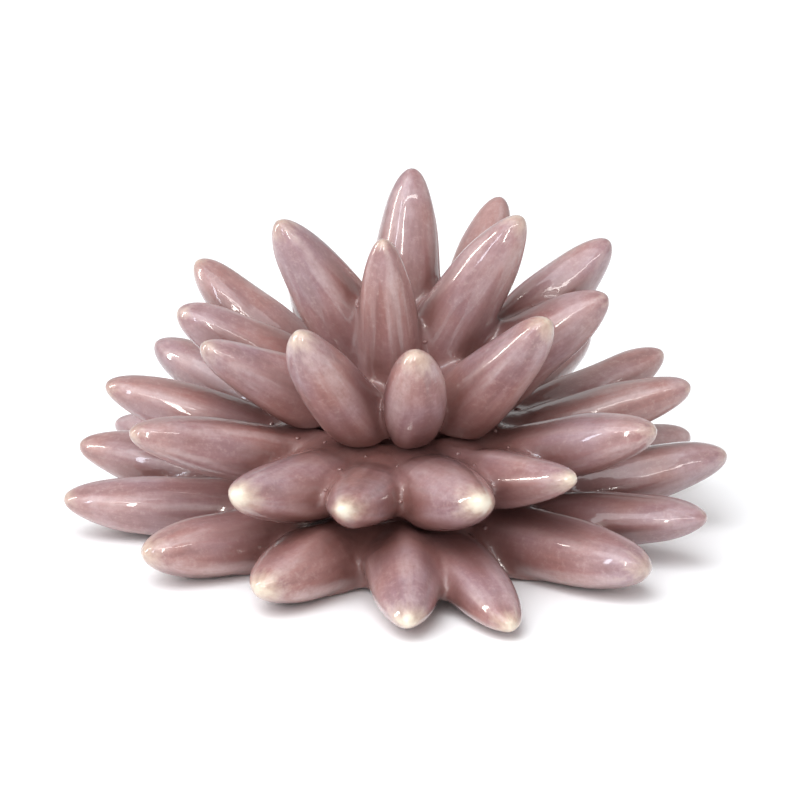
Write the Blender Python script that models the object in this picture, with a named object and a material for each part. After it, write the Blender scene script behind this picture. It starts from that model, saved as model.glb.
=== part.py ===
"""A ceramic flower frog, built the way a potter builds one: a hollow, open-bottomed core, a faceted
ring luted round each step of the core, a plug on top, and hand-rolled clay fingers set on every
facet. The fingers stand in four tiers, and stems are wedged in the notches between them.

Lengths in this file are millimetres; a mesh is scaled to metres when it is made. Azimuth 0 faces the
front (-Y) and grows towards +X. The foot stands on z = 0 and the origin is the middle of the foot.
"""

import math

import bmesh
import bpy
from mathutils import Euler, Matrix, Vector

MM = 0.001
GAP = 0.3  # clearance at every joint between two pieces

# Core: a stepped bell with a wall of about 5 mm, as (radius, height) from the foot to the crown.
CORE_OUTSIDE = [(33.0, 0.8), (33.0, 13.0), (31.5, 14.3), (20.0, 13.0), (20.0, 26.0), (18.5, 27.3),
                (9.5, 25.3), (9.5, 33.0)]
CORE_INSIDE = [(4.6, 28.0), (5.0, 20.5), (14.5, 20.0), (15.5, 9.0), (27.0, 8.5), (27.5, 0.8)]
FOOT_INNER, FOOT_OUTER = 28.3, 32.2
CORE_SIDES = 48

# Luting seams between neighbouring tiers are cones: height = base + slope * radius.
SEAMS = {
    "table": (0.9, 0.0),
    "base_middle": (10.7, 0.13),
    "middle_upper": (23.25, 0.25),
    "upper_crown": (30.0, 1.0),
}
PLUG_RADIUS, PLUG_BOTTOM, PLUG_TOP = 9.5, 33.3, 40.5
PLUG_CHAMFER = 0.8

FINGER_SIDES = 12
FAT = 0.32  # share of a finger's length at which it is widest
ROOT_SLIM = 0.08  # how much slimmer a finger is at its root, at most
BLUNTNESS = 2.3  # how blunt the tip is: 2 is half an ellipse
RING_STEPS = 4  # ring segments to a facet
RING_FILLET = 1.0

# Each tier: the facet radius, the ring's inner radius, the point that the fingers' axes start from
# (radius, height), thickness over width, and the ring's highest point. Each finger: azimuth in
# degrees, how far its tip reaches from the middle, the height of its tip, and its width.
TIERS = {
    "base": {
        "seams": ("table", "base_middle"), "facet": 37.0, "inner": 33.45, "axis": (30.0, 6.0),
        "flat": 0.74, "ring_top": 13.0, "colour": (0.40, 0.235, 0.225),
        "fingers": [(2, 74.8, 4.8, 17.5), (18.5, 77.3, 3.6, 15.5), (47, 74.3, 7.2, 19),
                    (67, 75.1, 12.2, 15.2), (90, 75.6, 17, 16.5), (111, 73.8, 12.8, 16),
                    (137, 74.3, 11.5, 17), (162, 75.3, 11, 17), (187, 75.3, 11, 17),
                    (213, 74.3, 11, 17), (240, 76.8, 12, 16), (256, 76, 13.3, 16.5),
                    (276, 76, 9.3, 17.5), (307, 69.3, 9, 18.5), (334, 67.6, 6.5, 20)],
    },
    "middle": {
        "seams": ("base_middle", "middle_upper"), "facet": 25.0, "inner": 20.45, "axis": (24.0, 21.5),
        "flat": 0.8, "ring_top": 27.0, "colour": (0.42, 0.25, 0.24),
        "fingers": [(17, 63.3, 26.8, 19.5), (39, 62.1, 27.2, 16), (62, 64.8, 33, 17),
                    (90, 66.6, 33.4, 15.5), (110, 66.2, 34.3, 14.5), (136, 65.3, 32, 16),
                    (162, 65.3, 32.5, 17), (188, 65.3, 32.5, 17), (214, 65.3, 32.5, 17),
                    (241, 64.3, 34, 16), (268, 66.3, 33.1, 15.5), (296, 65.3, 32, 17),
                    (326, 62.1, 25.4, 19.5), (349.5, 62.8, 25.8, 16)],
    },
    "upper": {
        "seams": ("middle_upper", "upper_crown"), "facet": 16.0, "inner": 9.95, "axis": (15.5, 31.5),
        "flat": 0.88, "ring_top": 41.5, "colour": (0.44, 0.265, 0.26),
        "fingers": [(6, 43.3, 54.3, 14), (47, 45.3, 58, 15), (80, 48.1, 57.2, 16),
                    (101, 49.5, 65, 16), (128, 42.3, 47.5, 14), (147.5, 45.8, 67.2, 13),
                    (182, 42.3, 54, 15), (213, 43.3, 54.5, 15), (247, 50.3, 57.5, 14.5),
                    (270, 49.1, 51.4, 15), (294, 47, 48.5, 16.5), (332, 45.3, 58, 14.5)],
    },
}
# The crown's fingers stand on the plug: axes start from this radius and height.
CROWN = {
    "axis": (4.0, 38.0), "flat": 0.94, "innermost": 1.5, "colour": (0.45, 0.27, 0.265),
    "fingers": [(73, 29.3, 75.6, 17), (118, 20.3, 57, 12), (166, 15.9, 80.4, 16.6),
                (232, 19.3, 57, 12), (288, 27.8, 74.4, 17), (350, 16.6, 72.5, 13.5)],
}
CORE_COLOUR = (0.36, 0.215, 0.20)
GLAZE_ROUGHNESS = 0.16
CLAY_ROUGHNESS = 0.75


def clear_scene():
    for obj in list(bpy.data.objects):
        bpy.data.objects.remove(obj, do_unlink=True)


def make_material(name, colour, roughness):
    material = bpy.data.materials.new(name)
    material.use_nodes = True
    shader = material.node_tree.nodes["Principled BSDF"]
    shader.inputs["Base Color"].default_value = (*colour, 1.0)
    shader.inputs["Roughness"].default_value = roughness
    shader.inputs["Metallic"].default_value = 0.0
    material.diffuse_color = (*colour, 1.0)
    return material


def make_empty(name, parent):
    empty = bpy.data.objects.new(name, None)
    empty.parent = parent
    bpy.context.scene.collection.objects.link(empty)
    return empty


def make_object(name, bm, material, parent, matrix=None):
    """Turns the bmesh, in millimetres, into a smooth-shaded object in metres."""
    bmesh.ops.scale(bm, vec=(MM, MM, MM), verts=bm.verts)
    bmesh.ops.recalc_face_normals(bm, faces=bm.faces)
    mesh = bpy.data.meshes.new(name)
    bm.to_mesh(mesh)
    bm.free()
    mesh.shade_smooth()
    mesh.set_sharp_from_angle(angle=math.radians(40))
    mesh.materials.append(material)
    obj = bpy.data.objects.new(name, mesh)
    obj.parent = parent
    if matrix is not None:
        obj.matrix_local = matrix
    bpy.context.scene.collection.objects.link(obj)
    return obj


def bridge(bm, first, second):
    """Joins two loops of the same number of points with quads."""
    count = len(first)
    for i in range(count):
        j = (i + 1) % count
        bm.faces.new((first[i], first[j], second[j], second[i]))


def fan(bm, loop, point):
    for i, vert in enumerate(loop):
        bm.faces.new((vert, loop[(i + 1) % len(loop)], point))


def lathe(bm, profile, sides):
    """Circles for the (radius, height) points, one after the other, bridged. Returns the circles."""
    circles = []
    for radius, height in profile:
        turns = [2 * math.pi * i / sides for i in range(sides)]
        circles.append([bm.verts.new((radius * math.sin(a), -radius * math.cos(a), height)) for a in turns])
    for lower, upper in zip(circles, circles[1:]):
        bridge(bm, lower, upper)
    return circles


def add_core(material, parent):
    """The bell: outside from the foot up, a flat top, and the hollow from its ceiling down."""
    bm = bmesh.new()
    foot = [(FOOT_INNER, 0.0), (FOOT_OUTER, 0.0)]
    outside = lathe(bm, foot + CORE_OUTSIDE, CORE_SIDES)
    fan(bm, outside[-1], bm.verts.new((0, 0, CORE_OUTSIDE[-1][1])))
    inside = lathe(bm, CORE_INSIDE, CORE_SIDES)
    fan(bm, inside[0], bm.verts.new((0, 0, CORE_INSIDE[0][1])))
    bridge(bm, inside[-1], outside[0])
    make_object("core_dome", bm, material, parent)


def add_plug(material, parent):
    bm = bmesh.new()
    side = [(PLUG_RADIUS - PLUG_CHAMFER, PLUG_BOTTOM), (PLUG_RADIUS, PLUG_BOTTOM + PLUG_CHAMFER),
            (PLUG_RADIUS, PLUG_TOP - PLUG_CHAMFER), (PLUG_RADIUS - PLUG_CHAMFER, PLUG_TOP)]
    circles = lathe(bm, side, CORE_SIDES // 2)
    bm.faces.new(circles[0])
    bm.faces.new(circles[-1])
    make_object("crown_hub", bm, material, parent)


def seam_height(seam, radius):
    base, slope = SEAMS[seam]
    return base + slope * radius


def half_wedges(azimuths, i):
    """Half the angle to the finger before, and half the angle to the one after, in radians."""
    before = (azimuths[i] - azimuths[i - 1]) % 360
    after = (azimuths[(i + 1) % len(azimuths)] - azimuths[i]) % 360
    return math.radians(before) / 2, math.radians(after) / 2


def add_ring(name, tier, material, parent):
    """A ring whose outside is one flat facet for each finger, with its corners on the bisectors."""
    azimuths = [row[0] for row in tier["fingers"]]
    bottom, top = tier["seams"]
    inner, facet = tier["inner"], tier["facet"]
    bm = bmesh.new()
    sections = []
    for i, azimuth in enumerate(azimuths):
        before, after = half_wedges(azimuths, i)
        for step in range(RING_STEPS):
            turn = -before + (before + after) * step / RING_STEPS
            outer = facet / math.cos(turn)
            angle = math.radians(azimuth) + turn
            low = [seam_height(bottom, radius) + GAP / 2 for radius in (inner, outer)]
            high = [min(seam_height(top, radius) - GAP / 2, tier["ring_top"]) for radius in (inner, outer)]
            outline = [(inner, low[0]), (outer - RING_FILLET, low[1]), (outer, low[1] + RING_FILLET),
                       (outer, high[1] - RING_FILLET), (outer - RING_FILLET, high[1]), (inner, high[0])]
            sections.append([
                bm.verts.new((radius * math.sin(angle), -radius * math.cos(angle), height))
                for radius, height in outline
            ])
    for section, following in zip(sections, sections[1:] + sections[:1]):
        bridge(bm, section, following)
    make_object(name, bm, material, parent)


def girth(t):
    """A finger's width over its widest, at share t of its length: slim root, blunt tip."""
    if t < FAT:
        return 1 - ROOT_SLIM * ((FAT - t) / FAT) ** 2
    u = (t - FAT) / (1 - FAT)
    return math.sqrt(max(0.0, 1 - u ** BLUNTNESS))


def ring_stations(first):
    """Shares of the length at which a finger gets a ring of points, from its seat to near its tip."""
    bends = [FAT + (1 - FAT) * math.sin(math.radians(angle)) for angle in (18, 36, 53, 67, 80)]
    between = [first + (FAT - first) * 0.6] if first < FAT - 0.05 else []
    return [first] + between + bends


def add_finger(name, row, wedges, tier, seat, material, parent):
    """One rolled finger. Its points are worked out in a frame with x outwards along the finger's
    azimuth, y sideways and z up, where its seat and its mitred sides are simple planes."""
    azimuth, reach, tip_height, width = row
    root_radius, root_height = tier["axis"]
    slope = math.atan2(tip_height - root_height, reach - root_radius)
    length = math.hypot(tip_height - root_height, reach - root_radius)
    along = Vector((math.cos(slope), 0, math.sin(slope)))
    upward = Vector((-math.sin(slope), 0, math.cos(slope)))
    root = Vector((root_radius, 0, root_height))
    seat_normal, seat_distance = seat
    first = max(0.02, (seat_distance - root.dot(seat_normal)) / (length * along.dot(seat_normal)))
    start = root + along * length * first

    def trimmed(point):
        point = point.copy()
        short = seat_distance - point.dot(seat_normal)
        if short > 0:
            point += along * (short / along.dot(seat_normal))
        point.x = max(point.x, tier.get("innermost", 0.0))
        before, after = wedges
        point.y = min(point.y, point.x * math.tan(after) - GAP / 2 / math.cos(after))
        point.y = max(point.y, GAP / 2 / math.cos(before) - point.x * math.tan(before))
        bottom, top = tier["seams"]
        if top:
            point.z = min(point.z, seam_height(top, point.x) - GAP / 2)
        point.z = max(point.z, seam_height(bottom, math.hypot(point.x, point.y)) + GAP / 2)
        return point

    stations = ring_stations(first)
    reach_back = 0.5 * width * tier["flat"] * abs(upward.dot(seat_normal)) / along.dot(seat_normal)
    stations = [stations[0]] + [t for t in stations[1:] if (t - first) * length > reach_back + 1.0]
    bm = bmesh.new()
    loops = []
    for number, t in enumerate(stations):
        middle = root + along * length * t
        loop = []
        for step in range(FINGER_SIDES):
            turn = 2 * math.pi * (step + 0.5) / FINGER_SIDES
            offset = Vector((0, math.cos(turn), 0)) + upward * (tier["flat"] * math.sin(turn))
            point = middle + offset * (girth(t) * width / 2)
            if number == 0:
                point += along * ((seat_distance - point.dot(seat_normal)) / along.dot(seat_normal))
            point = trimmed(point) - start
            loop.append(bm.verts.new((point.dot(along), point.y, point.dot(upward))))
        loops.append(loop)
    for lower, upper in zip(loops, loops[1:]):
        bridge(bm, lower, upper)
    bm.faces.new(loops[0])
    tip = trimmed(root + along * length) - start
    fan(bm, loops[-1], bm.verts.new((tip.dot(along), tip.y, tip.dot(upward))))
    turn = math.radians(azimuth)
    place = Vector((start.x * math.sin(turn), -start.x * math.cos(turn), start.z)) * MM
    spin = Euler((0, -slope, turn - math.pi / 2))
    make_object(name, bm, material, parent, Matrix.Translation(place) @ spin.to_matrix().to_4x4())


def add_fingers(tier_name, tier, seat, material, parent):
    azimuths = [row[0] for row in tier["fingers"]]
    for i, row in enumerate(tier["fingers"]):
        name = f"{tier_name}_finger_{i + 1:02d}"
        add_finger(name, row, half_wedges(azimuths, i), tier, seat, material, parent)


def main():
    clear_scene()
    frog = make_empty("flower_frog", None)
    add_core(make_material("bisque_core", CORE_COLOUR, CLAY_ROUGHNESS), frog)
    for name, tier in TIERS.items():
        group = make_empty(f"{name}_tier", frog)
        glaze = make_material(f"{name}_glaze", tier["colour"], GLAZE_ROUGHNESS)
        add_ring(f"{name}_ring", tier, glaze, group)
        seat = (Vector((1, 0, 0)), tier["facet"] + GAP)
        add_fingers(name, tier, seat, glaze, group)
    group = make_empty("crown_tier", frog)
    glaze = make_material("crown_glaze", CROWN["colour"], GLAZE_ROUGHNESS)
    add_plug(glaze, group)
    crown = dict(CROWN, seams=("upper_crown", None))
    add_fingers("crown", crown, (Vector((0, 0, 1)), PLUG_TOP + GAP), glaze, group)


main()
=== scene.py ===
import math

import bmesh
import bpy
import numpy as np
from mathutils import Matrix, Vector


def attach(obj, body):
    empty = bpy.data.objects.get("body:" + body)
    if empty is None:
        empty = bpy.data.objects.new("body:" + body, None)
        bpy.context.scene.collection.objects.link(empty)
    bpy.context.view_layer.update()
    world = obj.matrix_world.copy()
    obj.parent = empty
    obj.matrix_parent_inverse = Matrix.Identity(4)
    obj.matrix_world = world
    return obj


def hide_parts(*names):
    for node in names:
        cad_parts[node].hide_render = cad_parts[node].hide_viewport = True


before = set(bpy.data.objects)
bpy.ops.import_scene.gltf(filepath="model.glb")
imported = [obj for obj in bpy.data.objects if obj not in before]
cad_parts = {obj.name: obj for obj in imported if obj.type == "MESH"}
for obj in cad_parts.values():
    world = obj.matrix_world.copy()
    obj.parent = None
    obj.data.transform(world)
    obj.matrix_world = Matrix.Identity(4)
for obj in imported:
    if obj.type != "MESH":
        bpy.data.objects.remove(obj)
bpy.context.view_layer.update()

# A ceramic flower frog: four rosettes of rolled clay fingers, one above the other, under a glossy
# mauve glaze. Each rosette is drawn as one glazed skin, and the crown shares its glaze with the
# upper tier. The CAD core stays, with a clay material.
#
# Shapes are worked out in millimetres and become metres when a mesh is made. Azimuth 0 is the front
# (-Y), growing to +X.
MM = 0.001
GRID = 0.7  # spacing of the grid that the glazed skins are drawn on

# Fingers by tier: azimuth, reach of the tip, height of the tip, width, bow (how far the middle of
# the finger arches up), lean (degrees that the root is turned from the tip's azimuth), taper
# towards the tip, how much the glaze breaks to cream over the tip, and, where there is a ninth
# value, how far the root is moved outward.
FINGERS = {
    "base": [
        (2, 74.5, 4.8, 17.5, 1, 0, 0.25, 0.9), (18.5, 77, 3.6, 15.5, 1, -2, 0.12, 0.7),
        (47, 74, 8, 18.5, -0.6, 0, 0, 0.45), (67, 74.8, 12.2, 15.2, 0, 0, 0, 0.25),
        (90, 75.3, 17, 16.5, 0, 0, 0, 0.4), (111, 73.5, 12.8, 16, 0, 0, 0, 0.2),
        (137, 74, 11.5, 17, 1, 0, 0.1, 0.4), (162, 75, 11, 17, 1, 0, 0.1, 0.5),
        (187, 75, 11, 17, 1, 0, 0.1, 0.4), (213, 74, 11, 17, 1, 0, 0.1, 0.5),
        (240, 76.5, 12, 16, 1, 0, 0, 0.3), (256, 75.7, 13.3, 16.5, 0, 0, 0, 0.4),
        (276, 75.6, 9.1, 16.8, -1, 0, 0, 0.5), (307, 69, 8.5, 18.2, -1.2, 2, 0.05, 0.6),
        (334, 67.3, 7.2, 19.5, -0.3, 5, 0.25, 0.8)],
    "middle": [
        (17, 63, 26.8, 19.5, -1.6, -4, 0.3, 1.0), (39, 60.8, 27.6, 16, -0.8, -2, 0.3, 0.7),
        (62, 64.5, 33, 17, 0, 0, 0, 0.45), (90, 66.3, 33.4, 15.5, 0, 0, 0, 0.3),
        (110, 65.9, 34.3, 14.5, -1, 0, 0, 0.3), (136, 65, 32, 16, 0, 0, 0, 0.4),
        (162, 65, 32.5, 17, 0, 0, 0.1, 0.4), (188, 65, 32.5, 17, 0, 0, 0.1, 0.5),
        (214, 65, 32.5, 17, 0, 0, 0.1, 0.4), (241, 64, 34, 16, 0, 0, 0, 0.3),
        (268, 66, 33.1, 15.5, 0, 0, 0, 0.45), (296, 65, 32, 17, 0, 0, 0.15, 0.45),
        (326, 61.8, 25.4, 19.5, -1.4, 2, 0.25, 0.9), (349.5, 62.5, 25.8, 16, -1.6, 2, 0.3, 1.0)],
    "upper": [
        (6, 43, 54.3, 14, -1.5, 4, 0, 0.55, 4), (47, 45, 58, 15, -0.5, -3, 0.05, 0.55, 3),
        (80, 47.8, 57.2, 16, 0.8, 0, 0, 0.3), (101, 49.2, 65, 16, 0.3, 0, 0, 0.25),
        (128, 42, 47.5, 14, 0, 0, 0, 0.3), (147.5, 45.5, 67.2, 13, 0.5, -12, 0, 0.25),
        (182, 42, 54, 15, 0, 0, 0, 0.4), (213, 43, 54.5, 15, 0, 0, 0, 0.4),
        (247, 49.6, 57.2, 14.2, -0.9, 0, 0, 0.5, 1), (270, 48.8, 51.4, 15, 0.3, 0, 0, 0.4),
        (294, 46.7, 49, 14, -0.8, 2, 0.1, 0.5), (332, 45, 58, 14.5, -1.5, 9, 0, 0.6, 4)],
    "crown": [
        (73, 29, 75.6, 17, 0, 0, 0, 0.55, 2.5), (118, 20, 57, 12, 0, 0, 0, 0.3),
        (166, 15.6, 80.3, 16.6, 0, 0, 0, 0.15), (232, 19, 57, 12, 0, 0, 0, 0.3),
        (288, 27.5, 74.4, 17, 0, -4, 0, 0.5), (350, 16.3, 72.5, 13.5, 0, 4, 0, 0.45, 5)],
}
# Per tier: where the finger axes start (radius, height), thickness over width, extra thickness at
# the root, where along its length a finger is widest, how much slimmer its root is, how blunt the
# tips are, the radius of the webs between fingers, and the clay body behind them as lines in
# (radius, height): outward normal angle in degrees and a point on the line.
TIERS = {
    "base": dict(axis=(30, 6), flat=0.78, deep=0, fat=0.38, slim=0.08, blunt=2.4, web=4,
                 body=[(48, 45, 0.6), (70, 32, 11), (-90, 40, 1.2), (180, 33.4, 8)]),
    "middle": dict(axis=(24, 19.2), flat=0.80, deep=0, fat=0.35, slim=0.12, blunt=2.3, web=3,
                   body=[(0, 28, 22), (74, 28, 25.5), (-90, 28, 12.2), (180, 20.4, 20)]),
    "upper": dict(axis=(15.5, 31), flat=0.88, deep=0.34, fat=0.36, slim=0.15, blunt=2.3, web=2,
                  body=[(38, 19, 26), (90, 15, 38), (-97, 20, 24), (180, 9.9, 30)]),
    "crown": dict(axis=(4, 38), flat=0.94, deep=0.1, fat=0.12, slim=0.1, blunt=2.3, web=3,
                  body=[(35, 9, 40), (90, 4, 43), (-90, 5, 34)]),
}

ROOT_SLIM_END = 1.3  # the root stops getting slimmer this many fat-lengths behind the widest place
TAPER_END = 1.1  # the taper stops this far out, where 1 is the tip
ROOT_BEHIND = 1.0  # how far a finger reaches back behind the start of its axis
RIDGE_HEIGHT = 0.028  # height of the faint ridges along a finger, as a share of its thickness
LEAST_SLOPE = 0.35  # keeps the distance finite near a finger's axis
BODY_EDGE = 2.0  # rounding of the clay body's edges
LOWEST = 0.35  # height of the lowest points of a skin above the table

SEAM = 0.3  # gap between the tiers that have a seam
SEAM_EDGE = 1.0  # rounding of the edges along it
POOL = 4.5  # how softly the crown runs into the upper tier
OVERLAP = 1.2  # how far the upper and the crown skin each run on under the other
CROWN_UNDER = 0.04  # how far the crown's skin lies below the upper tier's where both are drawn
MARGIN = 8  # room for the webs in the box that a finger is worked out in
FAR = 50.0  # distance given to the fingers that are not near a point
ON_SURFACE = 0.1  # a point further than this from the shown surface lies on a hidden cut

# How hollow a place is, probed along the normal; the glaze is darkened by it where glaze gathers and as
# painted shade
HOLLOW_PROBES = ((1.5, 0.25), (3.5, 0.3), (7.5, 0.3), (14, 0.3))  # distance from the skin, weight
POOL_WIDTH = 2.2  # how wide the glaze pools where two fingers meet
CREAM_LENGTH = 3.6  # how far from the tip the glaze breaks to cream
FLOW_STRETCH = 0.12  # a streak is this share as wide as it is long

BEAD_COUNTS = {"base": 26, "middle": 34, "upper": 26, "crown": 10}
BEAD_SIZES = (0.3, 0.6)  # half the width of a bead, smallest and largest
BEAD_LENGTHS = (0.9, 1.5)  # length over width
BEAD_HEIGHT = 0.75  # height over width
BEAD_SPACING = 7  # beads lie at least this far apart
BEAD_RAISED = 0.1  # how far a bead's middle lies above the skin, as a share of its size
BEAD_HOLLOW = (0.4, 0.95)  # beads gather where a place is this hollow,
BEAD_POOL = 0.75  # where this much glaze pools between two fingers,
BEAD_FACING = -0.3  # and where the skin's normal points no further down than this
BEAD_SHADE = 0.8  # a bead is as dark as a place this hollow


def around(azimuth, radius, height):
    turn = math.radians(azimuth)
    return np.array([math.sin(turn) * radius, -math.cos(turn) * radius, height])


def soft_min(one, two, reach):
    """The smaller of two distances, with a fillet where they are within reach of each other."""
    near = np.clip(reach - np.abs(one - two), 0, None) / reach
    return np.minimum(one, two) - near * near * reach * 0.25


def soft_max(one, two, reach):
    return -soft_min(-one, -two, reach)


class Waves:
    """A smooth, seeded unevenness: the sum of plane waves with random directions."""

    def __init__(self, seed, count, shortest, longest, height):
        rng = np.random.default_rng(seed)
        direction = rng.normal(size=(count, 3))
        direction /= np.linalg.norm(direction, axis=1)[:, None]
        length = rng.uniform(shortest, longest, count)
        self.wave_vectors = direction * (2 * np.pi / length)[:, None]
        self.phase = rng.uniform(0, 2 * np.pi, count)
        self.height = height * math.sqrt(2 / count)

    def at(self, points):
        return self.height * np.sin(points @ self.wave_vectors.T + self.phase).sum(axis=1)


# What the hand leaves on every surface, in millimetres
HAND = Waves(seed=3, count=14, shortest=10, longest=30, height=0.13)


class Finger:
    """One rolled finger as an implicit shape: an elliptical bar that closes in a blunt tip."""

    def __init__(self, row, tier, rng):
        azimuth, reach, tip_height, width, self.bow, lean, self.taper, self.cream, *outward = row
        start_radius, start_height = tier["axis"]
        self.root = around(azimuth + lean, start_radius + sum(outward), start_height)
        tip = around(azimuth, reach, tip_height)
        self.length = np.linalg.norm(tip - self.root)
        self.along = (tip - self.root) / self.length
        self.side = np.cross(self.along, [0, 0, 1])
        self.side /= np.linalg.norm(self.side)
        self.up = np.cross(self.side, self.along)
        self.half = width / 2
        self.tier = tier
        self.facets = rng.integers(3, 6)
        self.facet_phase = rng.uniform(0, 2 * np.pi)
        self.flow_start = rng.uniform(0, 400, 3)
        ends = np.array([self.root, tip])
        margin = self.half * 1.3 + MARGIN
        self.low, self.high = ends.min(axis=0) - margin, ends.max(axis=0) + margin

    def near(self, points):
        """Which points are close enough to matter."""
        return ((points > self.low) & (points < self.high)).all(axis=1)

    def local(self, points):
        """Places along the finger, across it, and above its bowed middle line."""
        offset = points - self.root
        along = offset @ self.along
        share = np.clip(along / self.length, 0, 1)
        return along, offset @ self.side, offset @ self.up - self.bow * 4 * share * (1 - share)

    def distance(self, points):
        """Signed distance to the finger's surface: close near it, and rough far away."""
        tier = self.tier
        along, lateral, vertical = self.local(points)
        fat = tier["fat"] * self.length
        behind = np.clip((fat - along) / fat, 0, ROOT_SLIM_END)
        half_width = self.half * (1 - tier["slim"] * behind ** 2)
        to_root = np.clip(1 - along / self.length, 0, 1)
        half_height = half_width * (tier["flat"] + tier["deep"] * to_root ** 2)
        turn = np.arctan2(vertical / half_height, lateral / half_width)
        ridge = 1 + RIDGE_HEIGHT * np.cos(self.facets * turn + self.facet_phase)
        half_width, half_height = half_width * ridge, half_height * ridge
        to_tip = np.clip((along - fat) / (self.length - fat), 0, None)
        narrowing = 1 - self.taper * np.minimum(to_tip, TAPER_END)
        half_width, half_height = half_width * narrowing, half_height * narrowing
        blunt = tier["blunt"]
        level = np.sqrt((lateral / half_width) ** 2 + (vertical / half_height) ** 2 + to_tip ** blunt)
        level = np.maximum(level, 1e-6)
        across = (lateral / half_width ** 2) ** 2 + (vertical / half_height ** 2) ** 2
        endwise = blunt / 2 * to_tip ** (blunt - 1) / (self.length - fat)
        slope = np.sqrt(across + endwise ** 2) / level
        distance = (level - 1) / np.maximum(slope, LEAST_SLOPE / self.half)
        return np.maximum(distance, -along - ROOT_BEHIND)


class Rosette:
    """A tier as an implicit shape: fingers merged by soft webs with the clay body behind them."""

    def __init__(self, name):
        self.tier = TIERS[name]
        rng = np.random.default_rng(len(name) * 7)
        self.fingers = [Finger(row, self.tier, rng) for row in FINGERS[name]]

    def body(self, points):
        """Distance to the turned clay body, which its lines enclose."""
        radius = np.hypot(points[:, 0], points[:, 1])
        distance = None
        for angle, line_radius, line_height in self.tier["body"]:
            turn = math.radians(angle)
            plane = (radius - line_radius) * math.cos(turn) + (points[:, 2] - line_height) * math.sin(turn)
            distance = plane if distance is None else soft_max(distance, plane, BODY_EDGE)
        return distance

    def distance(self, points):
        distance = self.body(points)
        for finger in self.fingers:
            near = np.flatnonzero(finger.near(points))
            distance[near] = soft_min(distance[near], finger.distance(points[near]), self.tier["web"])
        return np.maximum(distance - HAND.at(points), LOWEST - points[:, 2])

    def each(self, points):
        """Distance to every finger, one row each."""
        found = np.full((len(self.fingers), len(points)), FAR)
        for row, finger in zip(found, self.fingers):
            near = finger.near(points)
            row[near] = finger.distance(points[near])
        return found


ROSETTES = {name: Rosette(name) for name in TIERS}


def joined(points):
    """The upper tier and the crown as one shape, and how much nearer a point is to the upper tier."""
    upper, crown = ROSETTES["upper"].distance(points), ROSETTES["crown"].distance(points)
    return soft_min(upper, crown, POOL), crown - upper


def clear_of_middle(distance, points):
    """Cuts a shape back from the middle tier, with the gap of a seam."""
    return soft_max(distance, SEAM - ROSETTES["middle"].distance(points), SEAM_EDGE)


# Each skin: the shape that it shows, and the cut that ends it inside the clay, if there is one.
def base_skin(points):
    return clear_of_middle(ROSETTES["base"].distance(points), points), None


def middle_skin(points):
    return ROSETTES["middle"].distance(points), None


def upper_skin(points):
    shown, nearer_upper = joined(points)
    return clear_of_middle(shown, points), -OVERLAP - nearer_upper


def crown_skin(points):
    shown, nearer_upper = joined(points)
    return shown + CROWN_UNDER, nearer_upper - OVERLAP


SKINS = {"base": base_skin, "middle": middle_skin, "upper": upper_skin, "crown": crown_skin}


def surface_nets(field, low, step):
    """Points and quads on the zero surface of a grid of values: a point in each cell that the
    surface runs through, at the mean of its crossings, and a quad round each crossed edge."""
    inside = field < 0
    cells = np.array(field.shape) - 1
    total = np.zeros((*cells, 3))
    count = np.zeros(cells)
    number = np.arange(cells.prod()).reshape(cells)
    quads = []
    for axis in range(3):
        lower, upper = [slice(None)] * 3, [slice(None)] * 3
        lower[axis], upper[axis] = slice(0, -1), slice(1, None)
        lower, upper = tuple(lower), tuple(upper)
        crossed = inside[lower] != inside[upper]
        edges = np.argwhere(crossed)
        share = field[lower][crossed] / (field[lower][crossed] - field[upper][crossed])
        crossings = edges.astype(float)
        crossings[:, axis] += share
        one, two = (axis + 1) % 3, (axis + 2) % 3
        within = np.ones(len(edges), bool)
        for other in (one, two):
            within &= (edges[:, other] > 0) & (edges[:, other] < cells[other])
        edges, crossings = edges[within], crossings[within]
        leaving = inside[lower][crossed][within]
        corners = []
        for back_one, back_two in ((1, 1), (0, 1), (0, 0), (1, 0)):
            cell = edges.copy()
            cell[:, one] -= back_one
            cell[:, two] -= back_two
            cell = tuple(cell.T)
            np.add.at(total, cell, crossings)
            np.add.at(count, cell, 1)
            corners.append(number[cell])
        quad = np.stack(corners, axis=1)
        quad[~leaving] = quad[~leaving][:, ::-1]
        quads.append(quad)
    quads = np.concatenate(quads)
    used = np.unique(quads)
    points = (total.reshape(-1, 3)[used] / count.reshape(-1)[used][:, None]) * step + low
    renumber = np.zeros(cells.prod(), np.int64)
    renumber[used] = np.arange(len(used))
    return points, renumber[quads]


def gradient(shape, points, reach=0.05):
    """Slopes of a shape's distance along x, y and z, by central differences."""
    slopes = np.empty_like(points)
    for axis in range(3):
        step = np.zeros(3)
        step[axis] = reach
        slopes[:, axis] = (shape(points + step) - shape(points - step)) / (2 * reach)
    return slopes


def drawn_onto(surface, points):
    """Moves points that are near the surface onto it, in two Newton steps of at most half a grid
    spacing; those on a hidden cut stay."""
    for _ in range(2):
        slopes = gradient(surface, points)
        steepness = np.maximum((slopes * slopes).sum(axis=1), 0.1)
        level = surface(points)
        move = -slopes * (level / steepness)[:, None]
        length = np.linalg.norm(move, axis=1)
        move *= (np.minimum(length, 0.5 * GRID) / np.maximum(length, 1e-9))[:, None]
        points = points + move * (np.abs(level) < 0.8 * GRID)[:, None]
    return points


def shown_normals(surface, points):
    """Normals of the shown surface, and none on a hidden cut, where Blender works them out."""
    normals = gradient(surface, points)
    normals /= np.maximum(np.linalg.norm(normals, axis=1), 1e-6)[:, None]
    normals[np.abs(surface(points)) > ON_SURFACE] = 0
    return normals


def everything(points):
    """Distance to the nearest tier."""
    return np.min([rosette.distance(points) for rosette in ROSETTES.values()], axis=0)


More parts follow.
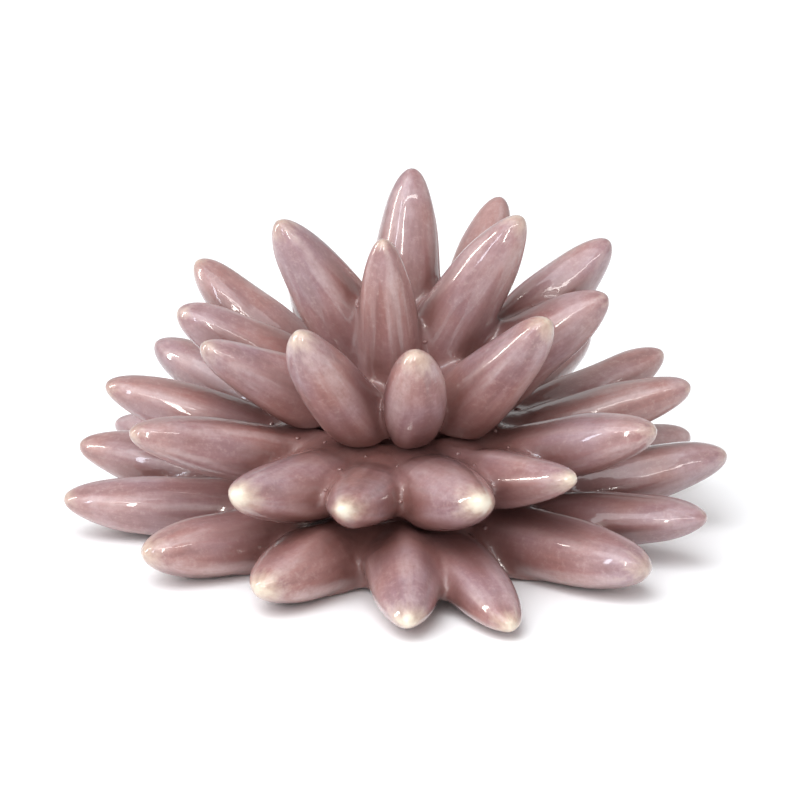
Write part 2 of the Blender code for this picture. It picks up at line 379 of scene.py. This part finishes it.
def glaze_values(name, points, normals):
    """What the glaze does at each point: how hollow the place is, which darkens it where glaze gathers and
    as painted shade, whether it pools between two fingers, where it breaks to cream, the ridges along the
    fingers, and the way that it flowed."""
    rosette = ROSETTES[name]
    hollow = np.zeros(len(points))
    for step, weight in HOLLOW_PROBES:
        hollow += weight * np.clip(1 - everything(points + normals * step) / step, 0, 1.2)
    near = np.concatenate([rosette.each(points), rosette.body(points)[None]])
    nearest = np.partition(near, 1, axis=0)[:2]
    pool = np.exp(-np.clip(nearest[1] - nearest[0], 0, None) / POOL_WIDTH)
    owner = near[:len(rosette.fingers)].argmin(axis=0)
    cream = np.zeros(len(points))
    ridge = np.zeros(len(points))
    flow = np.zeros((len(points), 3))
    for i, finger in enumerate(rosette.fingers):
        mine = owner == i
        along, lateral, vertical = finger.local(points[mine])
        cream[mine] = finger.cream * np.exp(-np.clip(finger.length - along, 0, None) / CREAM_LENGTH)
        turn = np.arctan2(vertical / finger.tier["flat"], lateral)
        ridge[mine] = np.cos(finger.facets * turn + finger.facet_phase)
        flow[mine] = np.stack([lateral, vertical, along * FLOW_STRETCH], axis=1) + finger.flow_start
    return {"hollow": hollow, "pool": pool, "cream": cream, "ridge": ridge, "flow": flow}


def add_values(mesh, values):
    """Writes the glaze values to the mesh, for the material to read."""
    for key, value in values.items():
        kind, field = ("FLOAT", "value") if value.ndim == 1 else ("FLOAT_VECTOR", "vector")
        data = mesh.attributes.new(key, kind, "POINT").data
        data.foreach_set(field, value.astype(np.float32).ravel())


def add_object(name, data):
    obj = bpy.data.objects.new(name, data)
    bpy.context.scene.collection.objects.link(obj)
    return obj


def add_skin(name):
    """The glazed skin of one tier, and what its beads of glaze need to know."""
    shape = SKINS[name]
    low = np.min([finger.low for finger in ROSETTES[name].fingers], axis=0)
    high = np.max([finger.high for finger in ROSETTES[name].fingers], axis=0)
    low[2] = max(low[2], -1.5)
    counts = np.ceil((high - low) / GRID).astype(int) + 1
    axes = [low[i] + GRID * np.arange(counts[i]) for i in range(3)]
    grid = np.stack(np.meshgrid(*axes, indexing="ij"), axis=-1).reshape(-1, 3)
    shown, cut = shape(grid)
    field = shown if cut is None else np.maximum(shown, cut)
    points, quads = surface_nets(field.reshape(counts), low, GRID)

    def surface(places):
        return shape(places)[0]

    points = drawn_onto(surface, points)
    normals = shown_normals(surface, points)
    values = glaze_values(name, points, normals)
    mesh = bpy.data.meshes.new(f"{name}_tier_skin")
    mesh.vertices.add(len(points))
    mesh.vertices.foreach_set("co", (points * MM).astype(np.float32).ravel())
    mesh.loops.add(quads.size)
    mesh.loops.foreach_set("vertex_index", quads.astype(np.int32).ravel())
    mesh.polygons.add(len(quads))
    mesh.polygons.foreach_set("loop_start", np.arange(0, quads.size, 4, dtype=np.int32))
    mesh.polygons.foreach_set("use_smooth", np.ones(len(quads), bool))
    mesh.update(calc_edges=True)
    add_values(mesh, values)
    mesh.normals_split_custom_set_from_vertices(normals.tolist())
    return add_object(mesh.name, mesh), points, normals, values


def add_beads(name, points, normals, values):
    """Small drops of glaze that gathered in the crotches and along the seams."""
    rng = np.random.default_rng(11 + len(name))
    least, most = BEAD_HOLLOW
    wet = (values["hollow"] > least) & (values["hollow"] < most) & (values["pool"] > BEAD_POOL)
    wet &= (normals[:, 2] > BEAD_FACING) & normals.any(axis=1)
    kept = []
    for i in rng.permutation(np.flatnonzero(wet)):
        if len(kept) == BEAD_COUNTS[name]:
            break
        if all(np.linalg.norm(points[i] - points[j]) > BEAD_SPACING for j in kept):
            kept.append(i)
    bm = bmesh.new()
    for i in kept:
        size = rng.uniform(*BEAD_SIZES)
        turn = Vector(normals[i]).to_track_quat("Z", "Y").to_matrix().to_4x4()
        centre = Vector(points[i] + normals[i] * size * BEAD_RAISED)
        shape = Matrix.Diagonal((size * rng.uniform(*BEAD_LENGTHS), size, size * BEAD_HEIGHT, 1))
        where = Matrix.Scale(MM, 4) @ Matrix.Translation(centre) @ turn @ shape
        bmesh.ops.create_icosphere(bm, subdivisions=3, radius=1, matrix=where)
    for face in bm.faces:
        face.smooth = True
    mesh = bpy.data.meshes.new(f"{name}_glaze_beads")
    bm.to_mesh(mesh)
    bm.free()
    none = np.zeros(len(mesh.vertices))
    # Beads are darkened like a hollow place: dark gathered glaze and painted shade
    pooled_glaze_and_shade = np.full(len(mesh.vertices), BEAD_SHADE)
    flow = np.zeros((len(mesh.vertices), 3))
    add_values(mesh, {"hollow": pooled_glaze_and_shade, "pool": none, "cream": none, "ridge": none, "flow": flow})
    return add_object(mesh.name, mesh)


class Shader:
    """A new Principled material, and short ways of adding nodes to it."""

    def __init__(self, name):
        self.material = bpy.data.materials.new(name)
        self.material.use_nodes = True
        self.nodes = self.material.node_tree.nodes
        self.links = self.material.node_tree.links
        self.bsdf = self.nodes["Principled BSDF"]
        self.place = self.nodes.new("ShaderNodeTexCoord").outputs["Object"]

    def feed(self, socket, value):
        """Gives a socket another node's output, a colour or a number."""
        if isinstance(value, bpy.types.NodeSocket):
            self.links.new(value, socket)
        elif socket.type == "RGBA":
            socket.default_value = (*value, 1)
        else:
            socket.default_value = value

    def settle(self, **values):
        """Sets the Principled sockets, named with _ for a space."""
        for key, value in values.items():
            self.feed(self.bsdf.inputs[key.replace("_", " ")], value)

    def attribute(self, key, output="Fac"):
        node = self.nodes.new("ShaderNodeAttribute")
        node.attribute_name = key
        return node.outputs[output]

    def noise(self, vector, scale, detail=3.0, roughness=0.55):
        node = self.nodes.new("ShaderNodeTexNoise")
        given = (("Vector", vector), ("Scale", scale), ("Detail", detail), ("Roughness", roughness))
        for key, value in given:
            self.feed(node.inputs[key], value)
        return node.outputs["Fac"]

    def spread(self, value, low, high, to_low=0.0, to_high=1.0):
        """Maps low..high to to_low..to_high, and holds it there."""
        node = self.nodes.new("ShaderNodeMapRange")
        for socket, number in zip(node.inputs, (value, low, high, to_low, to_high)):
            self.feed(socket, number)
        return node.outputs["Result"]

    def maths(self, kind, one, two):
        node = self.nodes.new("ShaderNodeMath")
        node.operation = kind
        self.feed(node.inputs[0], one)
        self.feed(node.inputs[1], two)
        return node.outputs[0]

    def mix(self, factor, one, two, kind="MIX"):
        node = self.nodes.new("ShaderNodeMix")
        node.data_type = "RGBA"
        node.blend_type = kind
        first, second = [socket for socket in node.inputs if socket.type == "RGBA"]
        for socket, value in ((node.inputs["Factor"], factor), (first, one), (second, two)):
            self.feed(socket, value)
        return next(socket for socket in node.outputs if socket.type == "RGBA")

    def bump(self, height, strength, distance):
        node = self.nodes.new("ShaderNodeBump")
        for key, value in (("Height", height), ("Strength", strength), ("Distance", distance)):
            self.feed(node.inputs[key], value)
        return node.outputs["Normal"]


def glaze_material():
    """Mauve glaze: cloudy, streaked along the fingers, dark where glaze gathers and darkened as painted
    shade in hollow places, cream where thin.
    Depths of its bump and of the light that sinks in are metres, as Blender takes them."""
    shader = Shader("mauve_glaze")
    place = shader.place
    flow = shader.attribute("flow", "Vector")
    hollow, pool, cream, ridge = [shader.attribute(key) for key in ("hollow", "pool", "cream", "ridge")]

    mottle = shader.noise(place, 130)
    speck = shader.noise(place, 700, 3.0, 0.7)
    cloud = shader.noise(place, 45, 2.0)
    streak = shader.noise(flow, 0.5, 4.0, 0.6)
    strong_streak = shader.maths("MULTIPLY", shader.spread(streak, 0.3, 0.7, -1, 1), 0.9)
    band = shader.maths("ADD", shader.maths("MULTIPLY", ridge, 0.7), strong_streak)
    uneven = shader.maths("MULTIPLY", shader.spread(mottle, 0.3, 0.7, -0.5, 0.5), 0.16)
    # Dark glaze where it gathers between fingers and in hollows, and painted shade in creases and recesses
    pooled_glaze_and_shade = shader.maths("ADD", hollow, shader.maths("MULTIPLY", pool, 0.18))
    pooled_glaze_and_shade = shader.maths("ADD", pooled_glaze_and_shade, uneven)
    ragged = shader.maths("MULTIPLY", shader.spread(streak, 0.3, 0.7, -0.5, 0.5), 0.25)
    thin = shader.maths("ADD", cream, ragged)

    mottled = shader.spread(mottle, 0.35, 0.65)
    warm = shader.mix(mottled, (0.325, 0.157, 0.141), (0.39, 0.22, 0.202))
    cool = shader.mix(mottled, (0.29, 0.168, 0.185), (0.365, 0.247, 0.27))
    colour = shader.mix(shader.spread(cloud, 0.42, 0.62), warm, cool)
    # Layers from the body of the glaze up: what it follows, from where to where, strength, colour
    layers = [
        (band, 0.0, 1.4, 0.6, (0.50, 0.37, 0.36)),
        (band, 0.0, -1.4, 0.6, (0.20, 0.09, 0.085)),
        (speck, 0.52, 0.75, 0.3, (0.60, 0.45, 0.42)),
        (speck, 0.48, 0.25, 0.3, (0.18, 0.085, 0.08)),
        # The next two layers: glaze that gathers, and painted shade where the place is hollow
        (pooled_glaze_and_shade, 0.1, 0.5, 0.45, (0.25, 0.107, 0.095)),
        (pooled_glaze_and_shade, 0.28, 0.95, 0.72, (0.155, 0.06, 0.05)),
        (thin, 0.2, 0.75, 1.0, (0.60, 0.47, 0.36)),
        (thin, 0.55, 0.95, 1.0, (0.74, 0.67, 0.55)),
    ]
    for value, start, end, strength, layer in layers:
        colour = shader.mix(shader.spread(value, start, end, 0, strength), colour, layer)

    ripple = shader.maths("ADD", shader.noise(flow, 0.35, 2.0), shader.maths("MULTIPLY", speck, 0.08))
    where_hollow = shader.spread(hollow, 0.35, 0.75, 0, 1.6)
    bubbles = shader.maths("MULTIPLY", shader.noise(place, 420, 1.0), where_hollow)
    normal = shader.bump(shader.maths("ADD", ripple, bubbles), 0.25, 0.0004)
    shader.settle(Base_Color=colour, Roughness=0.38, Normal=normal)
    shader.settle(Coat_Weight=1.0, Coat_Roughness=0.035, Coat_IOR=1.5, Coat_Normal=normal)
    shader.settle(Subsurface_Weight=0.12, Subsurface_Radius=(1.0, 0.45, 0.4), Subsurface_Scale=0.002)
    return shader.material


def clay_material():
    """Fired clay of the core: bare at the foot, and dark and shiny above, where glaze ran in; the dark
    there is also painted shade for the crevices between the tiers.
    """
    shader = Shader("fired_clay")
    place = shader.place
    split = shader.nodes.new("ShaderNodeSeparateXYZ")
    shader.feed(split.inputs[0], place)
    # Mask of the dark, shiny part above the foot: glaze that ran in, and painted shade there
    glazed = shader.spread(split.outputs["Z"], 0.0005, 0.0030)

    def patches(scale, detail, low, high, dark, light):
        return shader.mix(shader.spread(shader.noise(place, scale, detail, 0.5), low, high), dark, light)

    grog = patches(900, 4, 0.35, 0.65, (0.42, 0.33, 0.26), (0.66, 0.56, 0.46))
    cloud = patches(60, 3, 0.35, 0.70, (0.78, 0.72, 0.68), (1.0, 0.97, 0.93))
    # Dark above: glaze that ran in, and painted shade for the crevices that the core shows through
    pooled_and_shaded = patches(160, 3, 0.35, 0.65, (0.075, 0.03, 0.027), (0.15, 0.06, 0.055))
    bare = shader.mix(1.0, grog, cloud, "MULTIPLY")
    normal = shader.bump(shader.noise(place, 1400, 3, 0.5), 0.4, 0.0002)
    roughness = shader.spread(glazed, 0, 1, 0.85, 0.3)
    shader.settle(Base_Color=shader.mix(glazed, bare, pooled_and_shaded), Roughness=roughness, Normal=normal)
    return shader.material


def floor_material():
    shader = Shader("floor")
    shader.settle(Base_Color=(0.94, 0.94, 0.94), Roughness=0.8)
    return shader.material


# The frog
CLAY = clay_material()
for slot in bpy.data.objects["core_dome"].material_slots:
    slot.material = CLAY

GLAZE = glaze_material()
for name in TIERS:
    skin, points, normals, values = add_skin(name)
    for piece in (skin, add_beads(name, points, normals, values)):
        piece.data.materials.append(GLAZE)
        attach(piece, "root")
    hub = "crown_hub" if name == "crown" else f"{name}_ring"
    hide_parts(hub, *[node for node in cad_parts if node.startswith(f"{name}_finger")])

# Floor, light and camera, in metres and degrees
FLOOR_SIZE = 6
bpy.ops.mesh.primitive_plane_add(size=FLOOR_SIZE, location=(0, 0, 0))
floor = bpy.context.object
floor.name = "floor"
floor.data.materials.append(floor_material())

WORLD_STRENGTH = 0.59
world = bpy.data.worlds.new("studio")
bpy.context.scene.world = world
world.use_nodes = True
background = world.node_tree.nodes["Background"]
background.inputs["Color"].default_value = (1, 1, 1, 1)
background.inputs["Strength"].default_value = WORLD_STRENGTH
bpy.context.scene.view_settings.view_transform = "Standard"

ELEVATION = 20
DISTANCE = 0.9
AIM = Vector((0.0009, 0, 0.0301))
camera_data = bpy.data.cameras.new("camera")
camera_data.lens = 177
camera_data.sensor_width = 36
camera = add_object("camera", camera_data)
view = math.radians(ELEVATION)
camera.location = (0, -DISTANCE * math.cos(view), DISTANCE * math.sin(view))
camera.rotation_euler = (AIM - camera.location).to_track_quat("-Z", "Y").to_euler()
bpy.context.scene.camera = camera

SUN_FROM = Vector((-0.45, -0.45, 0.85))
SUN_SOFTNESS = 80
sun_data = bpy.data.lights.new("overhead", "SUN")
sun_data.energy = 2.42
sun_data.angle = math.radians(SUN_SOFTNESS)
sun_data.color = (0.94, 0.97, 1.0)
sun = add_object("overhead", sun_data)
sun.visible_glossy = False
sun.rotation_euler = SUN_FROM.to_track_quat("Z", "Y").to_euler()

# Rectangular lamps that face the object: azimuth and elevation, distance, size, the radiance that a
# reflection of the lamp shows, colour, whether it lights matte surfaces, and whether gloss shows it
LAMP_TARGET = Vector((0, 0, 0.035))
LAMPS = {
    "softbox": (-30, 65, 1.1, (0.9, 0.7), 2.1, (0.95, 0.96, 1.0), True, True),
    "fill": (-5, 8, 1.2, (1.3, 0.5), 1.1, (1, 0.97, 0.95), True, False),
    "window": (-88, 26, 1.0, (0.09, 0.75), 28, (1, 0.95, 0.86), False, True),
    "front_strip": (-11, 33, 1.0, (0.07, 0.34), 28, (1, 0.96, 0.9), False, True),
    "tube": (8, 50, 1.0, (1.0, 0.05), 11, (1, 0.97, 0.92), False, True),
    "cool_strip": (-42, 30, 1.0, (0.08, 0.5), 12, (0.8, 0.88, 1.0), False, True),
}
for name, (azimuth, elevation, distance, size, radiance, colour, matte, glossy) in LAMPS.items():
    lamp_data = bpy.data.lights.new(name, "AREA")
    lamp_data.shape = "RECTANGLE"
    lamp_data.size, lamp_data.size_y = size
    lamp_data.energy = radiance * math.pi * size[0] * size[1]
    lamp_data.color = colour
    lamp = add_object(name, lamp_data)
    rise = math.radians(elevation)
    away = Vector(around(azimuth, math.cos(rise), math.sin(rise)))
    lamp.location = LAMP_TARGET + away * distance
    lamp.rotation_euler = away.to_track_quat("Z", "Y").to_euler()
    lamp.visible_diffuse = matte
    lamp.visible_glossy = glossy
